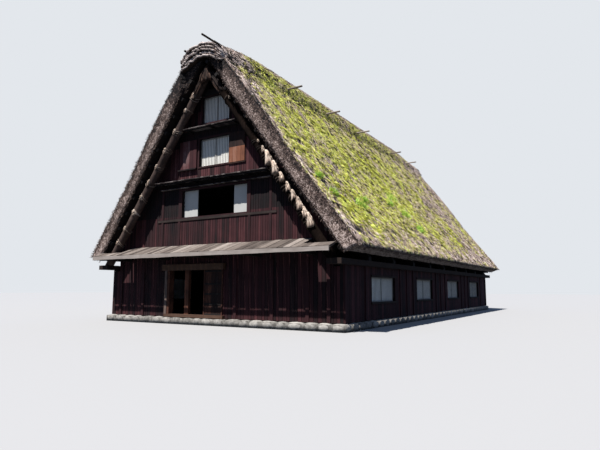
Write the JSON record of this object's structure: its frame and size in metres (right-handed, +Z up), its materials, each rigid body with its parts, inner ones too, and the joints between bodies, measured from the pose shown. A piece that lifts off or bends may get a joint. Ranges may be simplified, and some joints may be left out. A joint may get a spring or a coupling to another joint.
{
  "type": "thatched farmhouse",
  "caption": "Hollow timber farmhouse with a very steep thatched roof, board gables with paper screens, ledges and shutters, and a sliding entrance door.",
  "frame": {"origin": "on the ground, under the middle of the house", "axes": "+X to the right as seen from the entrance gable, +Y back along the ridge, +Z up"},
  "size_m": [14.4, 26.84, 12.73],
  "materials": {
    "thatch": "weathered reed thatch, rough, with moss on the slopes",
    "ridge_thatch": "grey layered thatch, rough",
    "dark_boards": "dark brown vertical boards, weathered, matt",
    "red_boards": "red brown boards, weathered, matt",
    "roof_timber": "smoke darkened timber, matt",
    "rafter_logs": "peeled round logs, weathered, matt",
    "weathered_boards": "silver grey weathered boards, matt",
    "paper_screens": "white paper on a wood grid, matt",
    "footing_stone": "rough field stone",
    "straw_lashing": "brown straw and rope, rough"
  },
  "bodies": {
    "house": {"stone_footing": "footing_stone", "ground_floor": "roof_timber", "front_wall_left": "dark_boards", "front_wall_right": "dark_boards", "front_door_header": "dark_boards", "entrance_frame": "red_boards", "back_wall": "dark_boards", "left_wall": "dark_boards", "right_wall": "dark_boards", "left_wall_screens": "paper_screens", "right_wall_screens": "paper_screens", "attic_floor_lower": "roof_timber", "attic_floor_middle": "roof_timber", "attic_floor_upper": "roof_timber", "front_gable_lower": "dark_boards", "front_gable_middle": "dark_boards", "front_gable_upper": "dark_boards", "front_ledge_lower": "weathered_boards", "front_ledge_upper": "weathered_boards", "front_screen_lower_left": "paper_screens", "front_screen_lower_right": "paper_screens", "front_screen_middle": "paper_screens", "front_screen_upper": "paper_screens", "front_shutter_left": "red_boards", "front_shutter_right": "red_boards", "back_gable_lower": "dark_boards", "back_gable_middle": "dark_boards", "back_gable_upper": "dark_boards", "back_ledge_lower": "weathered_boards", "back_ledge_upper": "weathered_boards", "back_screen_lower": "paper_screens", "back_screen_middle": "paper_screens", "back_screen_upper": "paper_screens", "front_rafter_left": "rafter_logs", "front_rafter_right": "rafter_logs", "back_rafter_left": "rafter_logs", "back_rafter_right": "rafter_logs", "front_apex_lashing": "straw_lashing", "back_apex_lashing": "straw_lashing", "left_roof_lattice": "roof_timber", "right_roof_lattice": "roof_timber", "left_thatch": "thatch", "right_thatch": "thatch", "ridge_cap": "ridge_thatch", "ridge_pole_top": "rafter_logs", "ridge_pole_left": "rafter_logs", "ridge_pole_right": "rafter_logs", "ridge_cross_pole_1": "rafter_logs", "ridge_cross_pole_2": "rafter_logs", "ridge_cross_pole_3": "rafter_logs", "ridge_cross_pole_4": "rafter_logs", "ridge_cross_pole_5": "rafter_logs", "front_pent_roof": "weathered_boards", "back_pent_roof": "weathered_boards"},
    "door_leaf": {"entrance_door": "red_boards"}
  },
  "joints": [
    {"name": "entrance_door_slide", "type": "slide", "parent": "house", "child": "door_leaf", "axis": [-1, 0, 0], "range_m": [0, 0.93]}
  ]
}
